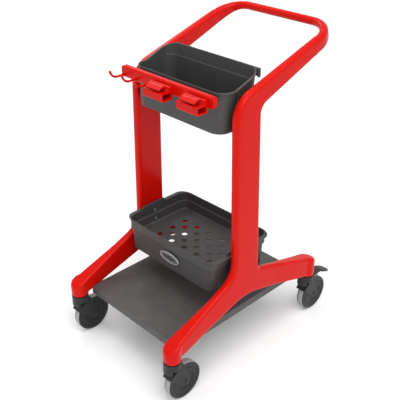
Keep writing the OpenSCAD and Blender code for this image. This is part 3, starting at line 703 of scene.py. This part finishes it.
# Wheels
# Half of a hub's section, from the rim inward: (depth below the tread's top, distance from the middle),
# then the boss as (radius, distance from the middle)
HUB_DEPTHS = [(5, 8), (1.6, 9.6), (1.5, 12), (2.4, 12.9), (4, 13), (10.5, 13), (11.6, 12.6), (13, 10.6),
              (14.2, 10), (16.5, 10), (17.6, 10.4), (19, 11.7), (20.4, 12), (24, 12), (25.4, 11.6),
              (28, 8.8), (30, 8)]
HUB_BOSS = [(19, 7.2), (17.4, 7.4), (16, 9.4), (15.4, 11.6), (14.6, 12.7), (13.4, 13), (5, 13), (4.1, 12.4),
            (4.1, 0)]


def turned_skin(name, half):
    """Half a section of (radius, side) and its mirror image, closed and turned about Z."""
    section = half + [(radius, -side) for radius, side in reversed(half)]
    rings = [[(x, y, side) for x, y in oval(radius, radius, 96)] for radius, side in section + section[:1]]
    return loft(name, rings, capped=(False, False))


def add_wheels():
    """Each caster's ribbed hub and crowned tread."""
    for corner in CASTERS:
        low, high = box_mm("caster_" + corner + "_tyre")
        turned = Matrix.Translation((low + high) / 2 * MM) @ Matrix.Rotation(radians(90), 4, "Y")
        rim = [(WHEEL_R - depth, side) for depth, side in HUB_DEPTHS]
        hub = turned_skin("hub_skin_" + corner, rim + HUB_BOSS)
        side = (high.x - low.x) / 2
        tyre = turned_skin("tyre_skin_" + corner, [
            (WHEEL_R - 5, 0.6 - side), (WHEEL_R - 1.8, 0.1 - side), (WHEEL_R - 0.7, 0.9 - side),
            (WHEEL_R - 0.1, 3 - side), (WHEEL_R, -3)])
        for mesh in (hub, tyre):
            mesh.transform(turned)
        add_piece("hub_skin_" + corner, hub, "caster_plastic", "wheel_" + corner, "caster_" + corner + "_hub")
        add_piece("tyre_skin_" + corner, tyre, "tread", "wheel_" + corner, "caster_" + corner + "_tyre")


# Parts that keep their CAD shape and get rounded edges and a finish
def finish_nodes(names, finish, edge):
    """Gives CAD nodes a finish and, where edge isn't 0, rounded edges that wide."""
    for name in names:
        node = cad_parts[name]
        node.data.materials.clear()
        node.data.materials.append(FINISHES[finish])
        node.data.polygons.foreach_set("use_smooth", [True] * len(node.data.polygons))
        weld = node.modifiers.new("Joined edges", "WELD")
        weld.merge_threshold = 0.02 * MM
        flat = node.modifiers.new("Plain faces", "DECIMATE")
        flat.decimate_type = "DISSOLVE"
        flat.angle_limit = radians(0.6)
        if edge:
            rounding = node.modifiers.new("Rounded edges", "BEVEL")
            rounding.width = edge
            rounding.segments = 2
            rounding.limit_method = "ANGLE"
            rounding.angle_limit = radians(35)
            rounding.use_clamp_overlap = True
            rounding.harden_normals = False
        even = node.modifiers.new("Even shading", "WEIGHTED_NORMAL")
        even.keep_sharp = True


def nodes_like(*words):
    """The CAD nodes whose names hold any of the words."""
    return sorted(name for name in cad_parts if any(word in name for word in words))


class CART_OT_finishes(bpy.types.Operator):
    """Make every finish from the shared effects"""

    bl_idname = "cart.finishes"
    bl_label = "Finishes"

    def execute(self, context):
        make_finishes()
        return {"FINISHED"}


class CART_OT_side_frames(bpy.types.Operator):
    """Build the two moulded side frames"""

    bl_idname = "cart.side_frames"
    bl_label = "Side frames"

    def execute(self, context):
        add_side_frames()
        return {"FINISHED"}


class CART_OT_handle(bpy.types.Operator):
    """Build the handle bar with its two bends"""

    bl_idname = "cart.handle"
    bl_label = "Handle"

    def execute(self, context):
        add_handle()
        return {"FINISHED"}


class CART_OT_tray(bpy.types.Operator):
    """Build the upper tray and finish its flange"""

    bl_idname = "cart.tray"
    bl_label = "Upper tray"

    def execute(self, context):
        add_tray()
        finish_nodes(["tray_rear_flange"], "grey_plastic", context.scene.cart_sizes.edge)
        return {"FINISHED"}


class CART_OT_basket(bpy.types.Operator):
    """Build the lower basket and its badge"""

    bl_idname = "cart.basket"
    bl_label = "Lower basket"

    def execute(self, context):
        add_basket()
        add_badge()
        return {"FINISHED"}


class CART_OT_shelf(bpy.types.Operator):
    """Round and finish the shelf and its ribs"""

    bl_idname = "cart.shelf"
    bl_label = "Shelf"

    def execute(self, context):
        # The deck takes the lighter copy of the grey, painted light for its lit top.
        finish_nodes(["shelf_deck"], "shelf_plastic", 2 * context.scene.cart_sizes.edge)
        finish_nodes(nodes_like("shelf_rib"), "grey_plastic", context.scene.cart_sizes.edge)
        return {"FINISHED"}


class CART_OT_tool_rail(bpy.types.Operator):
    """Round and finish the tool rail, its hooks and clips"""

    bl_idname = "cart.tool_rail"
    bl_label = "Tool rail"

    def execute(self, context):
        edge = context.scene.cart_sizes.edge
        finish_nodes(["tool_rail", "rail_caps"] + nodes_like("clip_body", "clip_jaw"), "red_plastic", edge)
        finish_nodes(nodes_like("rail_hook"), "red_plastic", 0)
        return {"FINISHED"}


class CART_OT_casters(bpy.types.Operator):
    """Build the wheels and finish the forks, bumpers and pedals"""

    bl_idname = "cart.casters"
    bl_label = "Casters"

    def execute(self, context):
        edge = context.scene.cart_sizes.edge
        add_wheels()
        finish_nodes(nodes_like("_fork", "brake_pedal", "_axle"), "caster_plastic", edge)
        finish_nodes(nodes_like("_bumper"), "black_plastic", edge)
        return {"FINISHED"}


class CART_OT_fittings(bpy.types.Operator):
    """Finish the brackets, screws, pins and stems"""

    bl_idname = "cart.fittings"
    bl_label = "Fittings"

    def execute(self, context):
        edge = context.scene.cart_sizes.edge
        # The brackets' near-black is partly their own plastic and partly painted shade for the gaps between the
        # trays and the uprights.
        finish_nodes(nodes_like("_bracket_"), "black_plastic", edge)
        finish_nodes(nodes_like("_stem", "brake_pin", "clip_pin", "_screws", "_bolts"), "steel", edge / 2)
        return {"FINISHED"}


class CART_OT_stage(bpy.types.Operator):
    """Set the camera, the floor and the soft studio light"""

    bl_idname = "cart.stage"
    bl_label = "Stage"

    def execute(self, context):
        scene = context.scene
        lens = bpy.data.cameras.new("camera")
        lens.lens = CAMERA_LENS
        lens.sensor_width = 36
        lens.clip_start = 0.05
        camera = bpy.data.objects.new("camera", lens)
        scene.collection.objects.link(camera)
        camera.location = CAMERA_PLACE
        camera.rotation_euler = Vector(CAMERA_AIM).to_track_quat("-Z", "Y").to_euler()
        scene.camera = camera
        scene.view_settings.view_transform = "Standard"
        floor_mesh = bpy.data.meshes.new("studio_floor")
        wide = 30
        floor_mesh.from_pydata([(-wide, -wide, 0), (wide, -wide, 0), (wide, wide, 0), (-wide, wide, 0)], [],
                               [(0, 1, 2, 3)])
        floor_mesh.transform(Matrix.Translation((0, 0, -0.0005)))
        floor = bpy.data.objects.new("studio_floor", floor_mesh)
        scene.collection.objects.link(floor)
        paper = bpy.data.materials.new("studio_paper")
        paper.use_nodes = True
        tree = paper.node_tree
        shader = tree.nodes["Principled BSDF"]
        tint = tree.nodes.new("ShaderNodeHueSaturation")
        tint.inputs["Color"].default_value = (*scene.cart_colours.floor, 1)
        tree.links.new(ranged(tree, noise_node(tree, 3.0), 0.0, 1.0, 0.99, 1.01), tint.inputs["Value"])
        tree.links.new(tint.outputs[0], shader.inputs["Base Color"])
        shader.inputs["Roughness"].default_value = 0.9
        floor_mesh.materials.append(paper)
        world = bpy.data.worlds.new("studio_air")
        world.use_nodes = True
        world.node_tree.nodes["Background"].inputs["Color"].default_value = (1, 1, 1, 1)
        world.node_tree.nodes["Background"].inputs["Strength"].default_value = 0.66
        scene.world = world
        light = bpy.data.lights.new("sky", "SUN")
        light.energy = 1.9
        light.angle = radians(70)
        lamp = bpy.data.objects.new("sky", light)
        lamp.rotation_euler = Vector((-0.55, 0.2, -1.0)).to_track_quat("-Z", "Y").to_euler()
        scene.collection.objects.link(lamp)
        for name, place, power in (("key", (0.6, -0.7, 2.8), 12), ("fill", (-1.6, 0.4, 2.2), 8)):
            light = bpy.data.lights.new(name, "AREA")
            light.energy = power
            light.size = 0.9
            lamp = bpy.data.objects.new(name, light)
            lamp.location = place
            lamp.rotation_euler = (Vector((0, 0, 0.5)) - Vector(place)).to_track_quat("-Z", "Y").to_euler()
            scene.collection.objects.link(lamp)
        return {"FINISHED"}


STEPS = (CART_OT_stage, CART_OT_finishes, CART_OT_side_frames, CART_OT_handle, CART_OT_tray, CART_OT_basket,
         CART_OT_shelf, CART_OT_tool_rail, CART_OT_casters, CART_OT_fittings)


class CART_PT_panel(bpy.types.Panel):
    """The cart's building steps"""

    bl_label = "Cleaning cart"
    bl_idname = "CART_PT_panel"
    bl_space_type = "VIEW_3D"
    bl_region_type = "UI"
    bl_category = "Cart"

    def draw(self, context):
        layout = self.layout
        for group in (context.scene.cart_sizes, context.scene.cart_colours):
            for name in group.__annotations__:
                layout.prop(group, name)
        for step in STEPS:
            layout.operator(step.bl_idname)


CLASSES = (CartSizes, CartColours, *STEPS, CART_PT_panel)


def register():
    """Makes the settings, the steps and the panel known to Blender."""
    for kind in CLASSES:
        bpy.utils.register_class(kind)
    bpy.types.Scene.cart_sizes = bpy.props.PointerProperty(type=CartSizes)
    bpy.types.Scene.cart_colours = bpy.props.PointerProperty(type=CartColours)


def unregister():
    """Takes them away again."""
    del bpy.types.Scene.cart_colours
    del bpy.types.Scene.cart_sizes
    for kind in reversed(CLASSES):
        bpy.utils.unregister_class(kind)


def main():
    """Builds the cart on its stage."""
    register()
    bpy.ops.cart.stage()
    bpy.ops.cart.finishes()
    bpy.ops.cart.side_frames()
    bpy.ops.cart.handle()
    bpy.ops.cart.tray()
    bpy.ops.cart.basket()
    bpy.ops.cart.shelf()
    bpy.ops.cart.tool_rail()
    bpy.ops.cart.casters()
    bpy.ops.cart.fittings()


if __name__ == "__main__":
    main()
